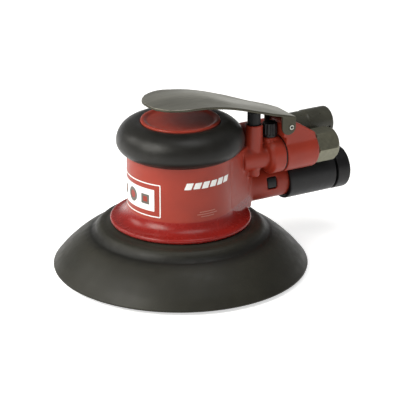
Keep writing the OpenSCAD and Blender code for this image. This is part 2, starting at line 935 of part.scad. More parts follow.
// Side outline of the lug that carries the lever's pin
module lug_outline() {
  z_low = inlet_z + 4;
  z_over = reg_boss_z + 0.3;
  rear = barrel_end - 1.5;
  translate([pin_x, pin_z])
    circle(r = lug_r);
  polygon([[barrel_x, z_low], [barrel_x, z_over], [pin_x - lug_r, z_over], [pin_x - lug_r, pin_z],
    [pin_x, pin_z + lug_r], [pin_x + lug_r * 0.55, pin_z + lug_r * 0.835],
    [rear, inlet_z + barrel_r + 0.3], [rear, z_low]]);
}

module inlet_barrel() {
  color("firebrick")
    difference() {
      union() {
        along_x(barrel_x, inlet_y, inlet_z)
          rotate_extrude() {
            square([barrel_r, barrel_len - 2]);
            square([barrel_r - 2, barrel_len]);
            translate([barrel_r - 2, barrel_len - 2])
              circle(r = 2);
          }
        bar_x(barrel_x - seal_t - barrel_spigot_len, inlet_y, inlet_z, barrel_spigot_r,
          barrel_spigot_len + seal_t + 1);
        slab_y(inlet_y - lug_half, inlet_y + lug_half)
          lug_outline();
      }
      bar_x(barrel_x - 10, inlet_y, inlet_z, air_r, barrel_len + 12);
      bar_x(barrel_end - bushing_len, inlet_y, inlet_z, bushing_r, bushing_len + 1);
      pin_bore(pin_r);
    }
}

module pin_bore(r) {
  translate([pin_x, inlet_y - ear_out - 2, pin_z])
    rotate([-90, 0, 0])
      cylinder(r = r, h = 2 * ear_out + 4);
}

module inlet_seal() {
  color("black")
    along_x(collar_end, inlet_y, inlet_z)
      ring(barrel_r - 0.8, barrel_spigot_r, seal_t);
}

// Steel bushing with the tapped air inlet
module inlet_bushing() {
  color("#8a8a78")
    difference() {
      union() {
        bar_x(barrel_end - bushing_len + 2, inlet_y, inlet_z, bushing_r, bushing_len);
        intersection() {
          along_x(barrel_end, inlet_y, inlet_z)
            rotate(30)
              cylinder(r = hex_r, h = hex_len, $fn = 6);
          along_x(barrel_end, inlet_y, inlet_z) {
            cylinder(r = hex_r + 0.1, h = hex_len - hex_chamfer);
            translate([0, 0, hex_len - hex_chamfer])
              cylinder(r1 = hex_r + 0.1, r2 = hex_af / 2 - 0.9, h = hex_chamfer);
          }
        }
      }
      bar_x(barrel_end - bushing_len, inlet_y, inlet_z, air_r, bushing_len + hex_len);
      bar_x(screen_x, inlet_y, inlet_z, screen_r, screen_t + 1);
      bar_x(hex_end - tap_depth, inlet_y, inlet_z, inlet_hole_r, tap_depth + 1);
    }
}

// Strainer disc at the bottom of the tapped hole
module inlet_screen() {
  color("goldenrod")
    along_x(screen_x, inlet_y, inlet_z)
      difference() {
        cylinder(r = screen_r - fit_gap, h = screen_t);
        for (u = [-2 : 2])
          for (v = [-2 : 2])
            if (u * u + v * v < 8)
              translate([u * 1.8, v * 1.8, -eps])
                cylinder(r = 0.6, h = 1, $fn = 24);
      }
}

// ---------- throttle ----------

// Side outline of the lever's sheet: one long bend, then a straight slope to the ears
module lever_outline(thick) {
  steps = 20;
  x0 = palm_c[0] - lever_palm_r - 1;
  xs = [for (i = [0 : steps]) x0 + (lever_slope_x - x0) * i / steps];
  top = concat([for (x = xs) [x, lever_z(x)]], [[lever_rear_x, lever_z(lever_rear_x)]]);
  drop = thick / cos(lever_slope);
  low = [for (i = [len(top) - 1 : -1 : 0]) [top[i][0], top[i][1] - drop]];
  polygon(concat(top, low));
}

// Plan outline: a round palm end that narrows to the ears
module lever_plan() {
  near = inlet_y - ear_out;
  far = inlet_y + ear_out;
  translate(palm_c)
    circle(r = lever_palm_r);
  polygon([[palm_c[0], palm_c[1] - lever_palm_r], [lever_rear_x, near], [lever_rear_x, far - 1],
    [lever_rear_x - 1.5, far + 0.8], [pin_x - 3.5, far + 4.4], [pin_x - 11, far + 9],
    [pin_x - 27, far + 15.2], [palm_c[0] + lever_palm_r * 0.3, palm_c[1] + lever_palm_r * 0.954],
    [palm_c[0], palm_c[1] + lever_palm_r]]);
}

module ear_outline() {
  intersection() {
    union() {
      translate([lever_rear_x - ear_r, pin_z + 0.3])
        circle(r = ear_r);
      translate([lever_rear_x - 2 * ear_r, pin_z + 0.3])
        square([2 * ear_r, 20]);
    }
    lever_outline(24);
  }
}

module throttle_lever() {
  color("#9a9a8c")
    difference() {
      union() {
        intersection() {
          slab_y(-40, 40)
            lever_outline(lever_t);
          linear_extrude(lever_top_z + 5)
            lever_plan();
        }
        for (s = [-1, 1])
          slab_y(inlet_y + (s > 0 ? ear_in : -ear_out), inlet_y + (s > 0 ? ear_out : -ear_in))
            ear_outline();
      }
      pin_bore(pin_r + fit_gap);
    }
}

// Hollow rolled pin through the lug and both ears
module lever_pin() {
  color("lightgray")
    translate([pin_x, inlet_y - ear_out - 0.3, pin_z])
      rotate([-90, 0, 0])
        difference() {
          ring(pin_r, pin_r - 0.6, 2 * ear_out + 0.6);
          translate([0, -0.25, -eps])
            cube([pin_r + 1, 0.5, 2 * ear_out + 1]);
        }
}

module valve_plunger() {
  ribs = 20;
  color("#1c1c1c")
    translate([post_x, inlet_y, 0])
      difference() {
        intersection() {
          translate([0, 0, plunger_z])
            linear_extrude(plunger_top_z - plunger_z) {
              circle(r = plunger_r - 0.35);
              for (i = [0 : ribs - 1])
                rotate(i * 360 / ribs)
                  translate([plunger_r - 0.8, -0.35])
                    square([0.75, 0.7]);
            }
          union() {
            translate([0, 0, plunger_top_z - plunger_dome_r])
              sphere(r = plunger_dome_r);
            translate([0, 0, plunger_z - 1])
              cylinder(r = plunger_dome_r, h = plunger_top_z - plunger_dome_r - plunger_z + 1);
          }
        }
        translate([0, 0, plunger_z - 1])
          cylinder(r = spool_r, h = plunger_top_z - plunger_z - 0.8);
      }
}

module valve_spool() {
  color("khaki")
    translate([post_x, inlet_y, 0])
      difference() {
        translate([0, 0, spool_z])
          cylinder(r = spool_r, h = plunger_top_z - 1.8 - spool_z);
        translate([0, 0, waist_z])
          ring(spool_r + 1, spool_r - 1.2, waist_h);
        for (z = spool_ring_z)
          translate([0, 0, z - 0.5])
            ring(spool_r + 1, spool_r - 0.85, 1);
      }
}

module spool_o_rings() {
  color("black")
    for (z = spool_ring_z)
      translate([post_x, inlet_y, z])
        o_ring(spool_r - 0.42, 0.43);
}

module valve_guide() {
  color("gold")
    translate([post_x, inlet_y, guide_z])
      ring(guide_r, spool_r + fit_gap, guide_top_z - guide_z);
}

module valve_plug() {
  color("goldenrod")
    translate([post_x, inlet_y, plug_z])
      difference() {
        cylinder(r = spool_r + fit_gap, h = plug_h);
        translate([0, 0, -eps])
          cylinder(r = 1.4, h = 1.2, $fn = 6);
      }
}

// Return spring under the spool, as a stack of turns joined by short posts
module valve_spring() {
  turns = 4;
  wire = 0.35;
  z0 = plug_z + plug_h + wire;
  pitch = (spool_z - wire - z0) / (turns - 1);
  color("lightgray")
    translate([post_x, inlet_y, 0]) {
      for (i = [0 : turns - 1])
        translate([0, 0, z0 + i * pitch])
          o_ring(spool_r - 0.5, wire);
      for (i = [0 : turns - 2])
        rotate(i * 180)
          translate([spool_r - 0.5, 0, z0 + i * pitch])
            cylinder(r = wire * 0.8, h = pitch, $fn = 24);
    }
}

// ---------- speed regulator ----------

module speed_regulator() {
  grips = 12;
  color("#1c1c1c")
    translate([reg_x, inlet_y, 0])
      difference() {
        union() {
          translate([0, 0, reg_boss_z + 0.2])
            cylinder(r = reg_r, h = reg_h);
          translate([0, 0, inlet_z - 3.2])
            cylinder(r = reg_stem_r, h = reg_boss_z - inlet_z + 4);
        }
        for (i = [0 : grips - 1])
          rotate(i * 360 / grips)
            translate([reg_r + 0.35, 0, reg_boss_z + 1.6])
              cylinder(r = 0.8, h = reg_h);
        translate([-reg_r, -0.5, reg_boss_z + reg_h - 0.8])
          cube([2 * reg_r, 1, 2]);
        translate([-10, 0, inlet_z])
          rotate([0, 90, 0])
            cylinder(r = 1.8, h = 20);
        translate([0, 0, reg_boss_z - 3.4])
          ring(reg_stem_r + 1, reg_stem_r - 0.75, 0.8);
      }
}

module regulator_o_ring() {
  color("black")
    translate([reg_x, inlet_y, reg_boss_z - 3])
      o_ring(reg_stem_r - 0.36, 0.37);
}

// ---------- muffler ----------

module muffler_body() {
  front_r = muffler_r - 0.4;
  inner_r = muffler_r - 1.6;
  color("#2a2a24")
    difference() {
      along_x(muffler_x, muffler_y, muffler_z)
        rotate_extrude() {
          square([front_r, muffler_step]);
          translate([0, muffler_step])
            square([muffler_r, muffler_len - muffler_step - 2]);
          square([muffler_r - 2, muffler_len]);
          translate([muffler_r - 2, muffler_len - 2])
            circle(r = 2);
        }
      bar_x(muffler_x - 1, muffler_y, muffler_z, inner_r, muffler_len - 1);
      for (i = [0 : 2])
        for (a = [100 : 20 : 260])
          translate([muffler_end - vent_end - i * vent_pitch, muffler_y, muffler_z])
            rotate([-a, 0, 0])
              cylinder(r = vent_r, h = muffler_r + 1, $fn = 24);
    }
}

// Plug that joins the muffler to the housing's exhaust tube
module muffler_adapter() {
  color("#2a2a24")
    difference() {
      union() {
        bar_x(muffler_x - 8, muffler_y, muffler_z, muffler_bore - fit_gap, 9);
        bar_x(muffler_x, muffler_y, muffler_z, muffler_r - 1.6 - fit_gap, 3);
      }
      bar_x(muffler_x - 9, muffler_y, muffler_z, muffler_bore - 1.6, 14);
    }
}

module muffler_felt() {
  color("wheat")
    along_x(muffler_x + 3, muffler_y, muffler_z)
      ring(muffler_r - 1.8, 3, muffler_len - 5.2);
}

// ---------- dust outlet ----------

module dust_fitting() {
  sleeve_x = window_x - 8;
  color("#1d1d1d")
    difference() {
      union() {
        bar_x(sleeve_x, vac_y, vac_z, vac_bore - fit_gap, vac_tube_x - sleeve_x + 1);
        along_x(vac_tube_x - vac_lap, vac_y, vac_z) {
          cylinder(r1 = vac_fit_r - 0.6, r2 = vac_fit_r, h = 1);
          translate([0, 0, 1])
            cylinder(r = vac_fit_r, h = vac_fit_len + vac_lap - 1);
        }
        bar_x(vac_fit_end - 1, vac_y, vac_z, neck_r, neck_len + 1);
        bar_x(vac_fit_end + 3.4, vac_y, vac_z, neck_r + 0.6, 1.2);
        intersection() {
          translate([window_x + 0.4, vac_y - vac_r, window_z - window_h / 2 + 0.4])
            cube([window_l - 0.8, vac_r, window_h - 0.8]);
          bar_x(window_x, vac_y, vac_z, vac_r - 0.4, window_l);
        }
      }
      bar_x(sleeve_x - 1, vac_y, vac_z, vac_bore - 1.5, vac_fit_end + neck_len + 3 - sleeve_x);
      difference() {
        bar_x(vac_tube_x - vac_lap - 1, vac_y, vac_z, vac_r + fit_gap, vac_lap + 1);
        bar_x(vac_tube_x - vac_lap - 2, vac_y, vac_z, vac_bore - fit_gap, vac_lap + 3);
      }
    }
}

// Cuff that swivels on the fitting's neck and takes the hose
module hose_cuff() {
  color("#202020")
    difference() {
      along_x(cuff_x, vac_y, vac_z)
        rotate_extrude() {
          square([cuff_r, cuff_len - cuff_round]);
          square([cuff_r - cuff_round, cuff_len]);
          translate([cuff_r - cuff_round, cuff_len - cuff_round])
            circle(r = cuff_round);
        }
      bar_x(cuff_x - 1, vac_y, vac_z, neck_r + 0.1, neck_len);
      bar_x(vac_fit_end + 3.2, vac_y, vac_z, neck_r + 0.7, 1.6);
      bar_x(cuff_x, vac_y, vac_z, neck_r - 1.2, cuff_len + 1);
    }
}

motor_housing();
palm_grip();
dust_shroud();
lock_ring();
lower_end_plate();
rotor_cylinder();
upper_end_plate();
cylinder_pin();
housing_o_rings();
lower_bearing_outer_ring();
upper_bearing_outer_ring();
inlet_barrel();
inlet_seal();
inlet_bushing();
inlet_screen();
lever_pin();
valve_guide();
valve_plug();
valve_spring();
muffler_body();
muffler_adapter();
muffler_felt();
dust_fitting();
hose_cuff();
throttle_lever();
valve_plunger();
valve_spool();
spool_o_rings();
speed_regulator();
regulator_o_ring();
balancer_shaft();
rotor();
rotor_vanes();
rotor_key();
lower_bearing_inner_ring();
upper_bearing_inner_ring();
shaft_snap_ring();
spindle_bearing_outer_ring();
spindle_bearing_retainer();
lower_bearing_balls();
lower_bearing_cage();
upper_bearing_balls();
upper_bearing_cage();
spindle_bearing_balls();
spindle_bearing_cage();
spindle();
spindle_bearing_inner_ring();
spindle_snap_ring();
pad_stud();
pad_plate();
pad_foam();
pad_facing();
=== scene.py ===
import json
import math

import bmesh
import bpy
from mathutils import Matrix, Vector, noise

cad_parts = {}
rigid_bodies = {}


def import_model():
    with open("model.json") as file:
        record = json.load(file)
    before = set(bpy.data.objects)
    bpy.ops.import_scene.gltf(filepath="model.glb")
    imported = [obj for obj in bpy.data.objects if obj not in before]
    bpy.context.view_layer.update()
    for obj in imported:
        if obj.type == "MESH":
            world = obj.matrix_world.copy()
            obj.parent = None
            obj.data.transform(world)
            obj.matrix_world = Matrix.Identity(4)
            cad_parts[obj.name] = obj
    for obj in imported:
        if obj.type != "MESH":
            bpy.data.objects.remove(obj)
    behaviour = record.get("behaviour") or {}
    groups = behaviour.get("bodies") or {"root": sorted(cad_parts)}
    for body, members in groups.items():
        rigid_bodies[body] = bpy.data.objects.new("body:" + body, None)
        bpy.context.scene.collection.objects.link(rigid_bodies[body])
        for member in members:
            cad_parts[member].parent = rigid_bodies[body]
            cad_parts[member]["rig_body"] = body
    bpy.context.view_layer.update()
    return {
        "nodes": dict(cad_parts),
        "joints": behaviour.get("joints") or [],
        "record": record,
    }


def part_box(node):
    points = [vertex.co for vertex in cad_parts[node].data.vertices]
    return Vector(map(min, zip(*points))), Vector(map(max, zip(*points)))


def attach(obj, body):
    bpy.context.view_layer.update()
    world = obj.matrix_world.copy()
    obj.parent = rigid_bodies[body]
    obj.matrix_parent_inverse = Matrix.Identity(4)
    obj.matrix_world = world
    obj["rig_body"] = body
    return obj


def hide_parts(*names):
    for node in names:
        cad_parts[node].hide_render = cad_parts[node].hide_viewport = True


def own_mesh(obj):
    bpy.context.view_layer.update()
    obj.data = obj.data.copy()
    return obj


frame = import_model()

MM = 0.001
NODES = frame["nodes"]
JOINTS = {joint["name"]: joint for joint in frame["joints"]}


# ---------------------------------------------------------------- mesh helpers

def new_object(name, mesh):
    """Links a new object that holds the mesh."""
    obj = bpy.data.objects.new(name, mesh)
    bpy.context.scene.collection.objects.link(obj)
    return obj


def mesh_object(name, verts, faces):
    """A smooth-shaded object from vertices in metres and faces."""
    mesh = bpy.data.meshes.new(name)
    mesh.from_pydata(verts, [], faces)
    mesh.update()
    obj = new_object(name, mesh)
    recalc_normals(obj)
    mesh.shade_smooth()
    return obj


def recalc_normals(obj):
    bm = bmesh.new()
    bm.from_mesh(obj.data)
    bmesh.ops.recalc_face_normals(bm, faces=bm.faces)
    bm.to_mesh(obj.data)
    bm.free()


def apply_modifiers(obj):
    """Bakes the object's modifiers into its mesh."""
    graph = bpy.context.evaluated_depsgraph_get()
    mesh = bpy.data.meshes.new_from_object(obj.evaluated_get(graph))
    obj.modifiers.clear()
    obj.data = mesh


def rounded(corners, steps=6):
    """A closed outline from (u, v, radius) corners, each turned into an arc of that radius."""
    points = []
    count = len(corners)
    for i, (u, v, radius) in enumerate(corners):
        here = Vector((u, v))
        before = Vector(corners[i - 1][:2]) - here
        after = Vector(corners[(i + 1) % count][:2]) - here
        turn = before.angle(after)
        if radius <= 0 or turn > math.pi - 0.02:
            points.append(here)
            continue
        reach = min(radius / math.tan(turn / 2), 0.49 * before.length, 0.49 * after.length)
        start = here + before.normalized() * reach
        end = here + after.normalized() * reach
        for k in range(steps + 1):
            t = k / steps
            points.append(start * (1 - t) ** 2 + here * 2 * t * (1 - t) + end * t ** 2)
    return points


def smooth_line(points, steps=5):
    """Catmull-Rom curve through the points, ends included."""
    line = []
    last = len(points) - 1
    for i in range(last):
        p0, p1 = Vector(points[max(i - 1, 0)]), Vector(points[i])
        p2, p3 = Vector(points[i + 1]), Vector(points[min(i + 2, last)])
        for k in range(steps):
            t = k / steps
            line.append(0.5 * (2 * p1 + (p2 - p0) * t + (2 * p0 - 5 * p1 + 4 * p2 - p3) * t * t
                               + (3 * p1 - p0 - 3 * p2 + p3) * t ** 3))
    line.append(Vector(points[-1]))
    return line


def revolve(name, outline, segments=192):
    """Turns a closed outline of (radius, height) points in mm about the Z axis."""
    verts = []
    faces = []
    n = len(outline)
    for s in range(segments):
        a = 2 * math.pi * s / segments
        verts += [(p[0] * MM * math.cos(a), p[0] * MM * math.sin(a), p[1] * MM) for p in outline]
    for s in range(segments):
        t = (s + 1) % segments
        for i in range(n):
            j = (i + 1) % n
            faces.append((s * n + i, t * n + i, t * n + j, s * n + j))
    return mesh_object(name, verts, faces)


def moulded(node, name, voxel, passes=4, reshape=None, fillets=()):
    """A copy of a CAD node with its sharp edges and inner corners softened, as a moulding's are.

    Each of the fillets is a test of (x, y, z) in mm and the extra passes its corners get there.
    """
    source = NODES[node]
    obj = new_object(name, source.data.copy())
    obj.data.materials.clear()
    bm = bmesh.new()
    bm.from_mesh(obj.data)
    bmesh.ops.remove_doubles(bm, verts=bm.verts, dist=1e-6)
    bm.to_mesh(obj.data)
    bm.free()
    remesh = obj.modifiers.new("skin", "REMESH")
    remesh.mode = "VOXEL"
    remesh.voxel_size = voxel * 1.0 * MM
    smooth = obj.modifiers.new("soften", "SMOOTH")
    smooth.factor = 0.5
    smooth.iterations = passes
    apply_modifiers(obj)
    for where, extra in fillets:
        group = obj.vertex_groups.new(name="fillets")
        group.add([v.index for v in obj.data.vertices if where(*(v.co / MM))], 1.0, "REPLACE")
        fillet = obj.modifiers.new("fillet", "SMOOTH")
        fillet.vertex_group = group.name
        fillet.factor = 0.5
        fillet.iterations = extra
        apply_modifiers(obj)
        obj.vertex_groups.clear()
    if reshape:
        reshape(obj.data)
    obj.data.shade_smooth()
    return finish_piece(obj, node)


def finish_piece(obj, *nodes):
    """The piece stands for these CAD nodes and rides on their body."""
    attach(obj, NODES[nodes[0]]["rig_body"])
    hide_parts(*nodes)
    return obj


def span(node):
    """Lowest and highest corner of a CAD node in mm."""
    low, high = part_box(node)
    return Vector(low) / MM, Vector(high) / MM


# ---------------------------------------------------------------- material helpers

class Shader:
    """A Principled material and short ways to wire procedural textures to it."""

    def __init__(self, name, color, roughness, metallic=0.0, specular=0.5):
        self.mat = bpy.data.materials.new(name)
        self.mat.use_nodes = True
        self.tree = self.mat.node_tree
        self.bsdf = self.tree.nodes["Principled BSDF"]
        self.bsdf.inputs["Base Color"].default_value = (*color, 1)
        self.bsdf.inputs["Roughness"].default_value = roughness
        self.bsdf.inputs["Metallic"].default_value = metallic
        self.bsdf.inputs["Specular IOR Level"].default_value = specular
        self.coord = self.tree.nodes.new("ShaderNodeTexCoord").outputs["Object"]

    def node(self, kind, **settings):
        made = self.tree.nodes.new("ShaderNode" + kind)
        for key, value in settings.items():
            setattr(made, key, value)
        return made

    def link(self, out, into):
        self.tree.links.new(out, into)

    def stretched(self, scale):
        """Object coordinates scaled differently along each axis."""
        mapping = self.node("Mapping")
        mapping.inputs["Scale"].default_value = scale
        self.link(self.coord, mapping.inputs["Vector"])
        return mapping.outputs["Vector"]

    def noise(self, scale, detail=3.0, roughness=0.5, vector=None):
        tex = self.node("TexNoise")
        tex.inputs["Scale"].default_value = scale
        tex.inputs["Detail"].default_value = detail
        tex.inputs["Roughness"].default_value = roughness
        self.link(vector or self.coord, tex.inputs["Vector"])
        return tex.outputs["Fac"]

    def cells(self, scale, feature="F1"):
        tex = self.node("TexVoronoi", feature=feature)
        tex.inputs["Scale"].default_value = scale
        self.link(self.coord, tex.inputs["Vector"])
        return tex.outputs["Distance"]

    def height(self, low, high, axis="Z"):
        """0 below low and 1 above high, along an axis of the object, in metres."""
        split = self.node("SeparateXYZ")
        self.link(self.coord, split.inputs[0])
        return self.remap(split.outputs[axis], low, high, 0, 1)

    def distance(self, low, high):
        """0 nearer the Z axis than low and 1 farther than high."""
        flat = self.node("VectorMath", operation="MULTIPLY")
        flat.inputs[1].default_value = (1, 1, 0)
        self.link(self.coord, flat.inputs[0])
        length = self.node("VectorMath", operation="LENGTH")
        self.link(flat.outputs[0], length.inputs[0])
        return self.remap(length.outputs["Value"], low, high, 0, 1)

    def facing_up(self, low, high):
        """1 on faces that look up, 0 on upright ones and undersides."""
        split = self.node("SeparateXYZ")
        self.link(self.node("NewGeometry").outputs["Normal"], split.inputs[0])
        return self.remap(split.outputs["Z"], low, high, 0, 1)

    def farthest(self, a, b):
        node = self.node("Math", operation="MAXIMUM")
        self.link(a, node.inputs[0])
        self.link(b, node.inputs[1])
        return node.outputs[0]

    def remap(self, value, a, b, c, d):
        node = self.node("MapRange")
        for key, number in zip(("From Min", "From Max", "To Min", "To Max"), (a, b, c, d)):
            node.inputs[key].default_value = number
        self.link(value, node.inputs["Value"])
        return node.outputs["Result"]

    def times(self, a, b):
        node = self.node("Math", operation="MULTIPLY")
        self.link(a, node.inputs[0])
        if isinstance(b, (int, float)):
            node.inputs[1].default_value = b
        else:
            self.link(b, node.inputs[1])
        return node.outputs[0]

    def mix(self, fac, first, second):
        """Colour mix. first and second are colours or sockets."""
        node = self.node("Mix", data_type="RGBA")
        for value, socket in ((fac, 0), (first, 6), (second, 7)):
            if isinstance(value, tuple):
                node.inputs[socket].default_value = (*value, 1)
            else:
                self.link(value, node.inputs[socket])
        return node.outputs[2]

    def color(self, socket):
        self.link(socket, self.bsdf.inputs["Base Color"])
        return self

    def rough(self, value, low, high, a=0.3, b=0.7):
        """Roughness runs from low to high as the texture runs from a to b."""
        self.link(self.remap(value, a, b, low, high), self.bsdf.inputs["Roughness"])
        return self

    def bump(self, value, depth, strength=1.0):
        """Surface relief of that depth in metres. Calls stack."""
        node = self.node("Bump")
        node.inputs["Distance"].default_value = depth
        node.inputs["Strength"].default_value = strength
        self.link(value, node.inputs["Height"])
        normal = self.bsdf.inputs["Normal"]
        if normal.is_linked:
            self.link(normal.links[0].from_socket, node.inputs["Normal"])
        self.link(node.outputs["Normal"], normal)
        return self


def shade(color, factor):
    return tuple(c * factor for c in color)


def make_red(flare_top):
    """Moulded red housing: satin barrel, glossier below the flare's top, where the red is painted deeper
    and darker as painted shade.
    """
    s = Shader("red_housing", (0.33, 0.035, 0.017), 0.4, specular=0.3)
    # painted shade: the flare colour is a darker copy of the barrel red, standing in for the shade on the
    # flare and flange
    barrel, flare = (0.295, 0.031, 0.015), (0.235, 0.013, 0.010)
    cloud = s.noise(60, 4)
    upper = s.mix(s.remap(cloud, 0.3, 0.7, 0, 1), shade(barrel, 0.9), shade(barrel, 1.08))
    lower = s.mix(s.remap(cloud, 0.3, 0.7, 0, 1), shade(flare, 0.92), shade(flare, 1.08))
    # this mask puts the painted-shade flare red below the flare's top and out at the flange's rim
    zone = s.farthest(s.height(flare_top - 0.0004, flare_top + 0.0004), s.distance(0.0455, 0.0465))
    rubbed = s.remap(s.noise(700, 5, 0.6), 0.64, 0.74, 0, 0.1)
    s.color(s.mix(rubbed, s.mix(zone, lower, upper), (0.42, 0.075, 0.045)))
    gloss = s.node("Math", operation="MULTIPLY_ADD")
    s.link(zone, gloss.inputs[0])
    gloss.inputs[1].default_value = 0.12
    s.link(s.remap(s.noise(240, 4), 0.3, 0.7, 0.22, 0.3), gloss.inputs[2])
    s.link(gloss.outputs[0], s.bsdf.inputs["Roughness"])
    s.bump(s.noise(2600, 2), 0.00003, 0.2)
    s.bump(s.noise(420, 2), 0.00004, 0.12)
    return s.mat


def make_rubber(name, color, low, high, grain, valley=None):
    """Moulded rubber with a fine leathery grain and dust in the hollows.

    A valley of (inner, outer) radius in metres is painted darker, as painted shade in the hollow.
    """
    s = Shader(name, color, high, specular=0.24)
    cloud = s.noise(45, 5)
    tone = s.mix(s.remap(cloud, 0.3, 0.7, 0, 1), shade(color, 0.82), shade(color, 1.2))
    if valley:
        inner, outer = valley
        # painted shade: the valley band is darkened to 0.3 of the rubber colour
        ring = s.times(s.distance(inner, inner + 0.003), s.distance(outer + 0.005, outer))
        tone = s.mix(ring, tone, shade(color, 0.3))
    dust = s.times(s.remap(s.noise(900, 5), 0.58, 0.75, 0, 0.35), s.remap(cloud, 0.45, 0.65, 0, 1))
    s.color(s.mix(dust, tone, shade(color, 2.6)))
    s.rough(s.noise(180, 4), low, high)
    s.bump(s.cells(grain), 0.00004, 0.5)
    s.bump(s.noise(260, 3), 0.00009, 0.35)
    return s.mat


def make_brushed(name, color, low, high, scale=(25, 700, 700), metallic=1.0, dark=None):
    """Sheet or bar metal with drawn scratches along the axis that has the small scale.

    With a dark colour, the sides and undersides are painted that colour as painted shade.
    """
    s = Shader(name, color, low, metallic)
    streak = s.noise(1.0, 5, 0.65, s.stretched(scale))
    broad = s.noise(1.0, 3, 0.5, s.stretched(tuple(v / 9 for v in scale)))
    cloud = s.noise(70, 4)
    tone = s.mix(s.remap(streak, 0.3, 0.7, 0, 1), shade(color, 0.8), shade(color, 1.14))
    tone = s.mix(s.remap(cloud, 0.35, 0.65, 0, 0.35), tone, shade(color, 0.78))
    # painted shade: faces that don't look up get the dark colour
    s.color(s.mix(s.facing_up(0.55, 0.8), dark, tone) if dark else tone)
    s.rough(broad, low, high)
    s.bump(streak, 0.00003, 0.5)
    s.bump(broad, 0.00005, 0.3)
    return s.mat


def make_turned(name, color, low, high, metallic=1.0, pitch=2600):
    """Lathe-turned metal with fine rings along Z and a little staining."""
    s = Shader(name, color, low, metallic)
    rings = s.noise(1.0, 2, 0.5, s.stretched((30, 30, pitch)))
    cloud = s.noise(120, 5)
    s.color(s.mix(s.remap(cloud, 0.3, 0.75, 0, 0.6), color, shade(color, 0.7)))
    s.rough(rings, low, high)
    s.bump(rings, 0.00002, 0.4)
    return s.mat


def make_plastic(name, color, low, high, grain=2200):
    """Moulded plastic with spark-eroded grain and a few rubbed spots."""
    s = Shader(name, color, low, specular=0.3)
    cloud = s.noise(80, 4)
    tone = s.mix(s.remap(cloud, 0.3, 0.7, 0, 1), shade(color, 0.8), shade(color, 1.25))
    rubbed = s.remap(s.noise(620, 5, 0.6), 0.6, 0.72, 0, 0.6)
    s.color(s.mix(rubbed, tone, tuple(c * 1.7 + 0.006 for c in color)))
    s.rough(s.noise(300, 4), low, high)
    s.bump(s.noise(grain, 2), 0.00005, 0.5)
    return s.mat


def make_foam(name, color, scale):
    """Open-cell foam: dark pores between lighter struts."""
    s = Shader(name, color, 0.9, specular=0.2)
    pores = s.cells(scale)
    s.color(s.mix(s.remap(pores, 0.1, 0.6, 0, 1), shade(color, 0.45), shade(color, 1.5)))
    s.rough(s.noise(200, 3), 0.8, 0.98)
    s.bump(pores, 0.0006, 0.8)
    return s.mat


def make_cloth(name, color, scale, depth):
    """Hook cloth or felt: a dense nap of short fibres."""
    s = Shader(name, color, 0.9, specular=0.2)
    nap = s.noise(scale, 4, 0.7)
    s.color(s.mix(s.remap(nap, 0.35, 0.65, 0, 1), shade(color, 0.6), shade(color, 1.5)))
    s.rough(s.noise(scale / 3, 3), 0.82, 0.98)
    s.bump(nap, depth, 0.8)
    s.bump(s.cells(scale / 1.6), depth, 0.5)
    s.bsdf.inputs["Sheen Weight"].default_value = 0.2
    return s.mat


def make_print(name, color):
    """Screen-printed ink with tiny gaps and a soft sheen."""
    s = Shader(name, color, 0.45)
    gaps = s.remap(s.noise(1500, 4), 0.62, 0.7, 0, 0.5)
    s.color(s.mix(gaps, color, shade(color, 0.72)))
    s.rough(s.noise(600, 3), 0.38, 0.55)
    s.bump(s.noise(2400, 2), 0.00002, 0.4)
    return s.mat


def paint(obj, material):
    """Gives the whole object one material."""
    obj.data.materials.clear()
    obj.data.materials.append(material)
    for polygon in obj.data.polygons:
        polygon.material_index = 0


# ---------------------------------------------------------------- camera, light, floor

# Where the picture's middle lies in the part's frame, and how wide it is there
VIEW_AZIMUTH = -30
VIEW_ELEVATION = 21.4
VIEW_DISTANCE = 1.3
VIEW_WIDTH = 0.2504
VIEW_RIGHT = 0.0122
VIEW_DOWN = 0.0063
VIEW_MIDDLE = Vector((0, 0, 0.050))


def direction(azimuth, elevation):
    """Unit vector from the object to a viewer or a lamp."""
    a, e = math.radians(azimuth), math.radians(elevation)
    return Vector((math.sin(a) * math.cos(e), -math.cos(a) * math.cos(e), math.sin(e)))


def add_camera():
    back = direction(VIEW_AZIMUTH, VIEW_ELEVATION)
    a = math.radians(VIEW_AZIMUTH)
    right = Vector((math.cos(a), math.sin(a), 0))
    up = back.cross(right)
    aim = VIEW_MIDDLE + right * VIEW_RIGHT - up * VIEW_DOWN
    data = bpy.data.cameras.new("camera")
    camera = new_object("camera", data)
    camera.location = aim + back * VIEW_DISTANCE
    camera.rotation_euler = back.to_track_quat("Z", "Y").to_euler()
    data.sensor_width = 36
    data.lens = 36 * VIEW_DISTANCE / VIEW_WIDTH
    data.clip_start = 0.01
    bpy.context.scene.camera = camera


def add_lamp(name, azimuth, elevation, distance, size, power, color=(1, 1, 1)):
    """A square soft box that faces the object."""
    data = bpy.data.lights.new(name, "AREA")
    data.size = size
    data.energy = power
    data.color = color
    lamp = new_object(name, data)
    back = direction(azimuth, elevation)
    lamp.location = VIEW_MIDDLE + back * distance
    lamp.rotation_euler = back.to_track_quat("Z", "Y").to_euler()


# Strength of the white sky above the bright horizon
SKY = 0.22


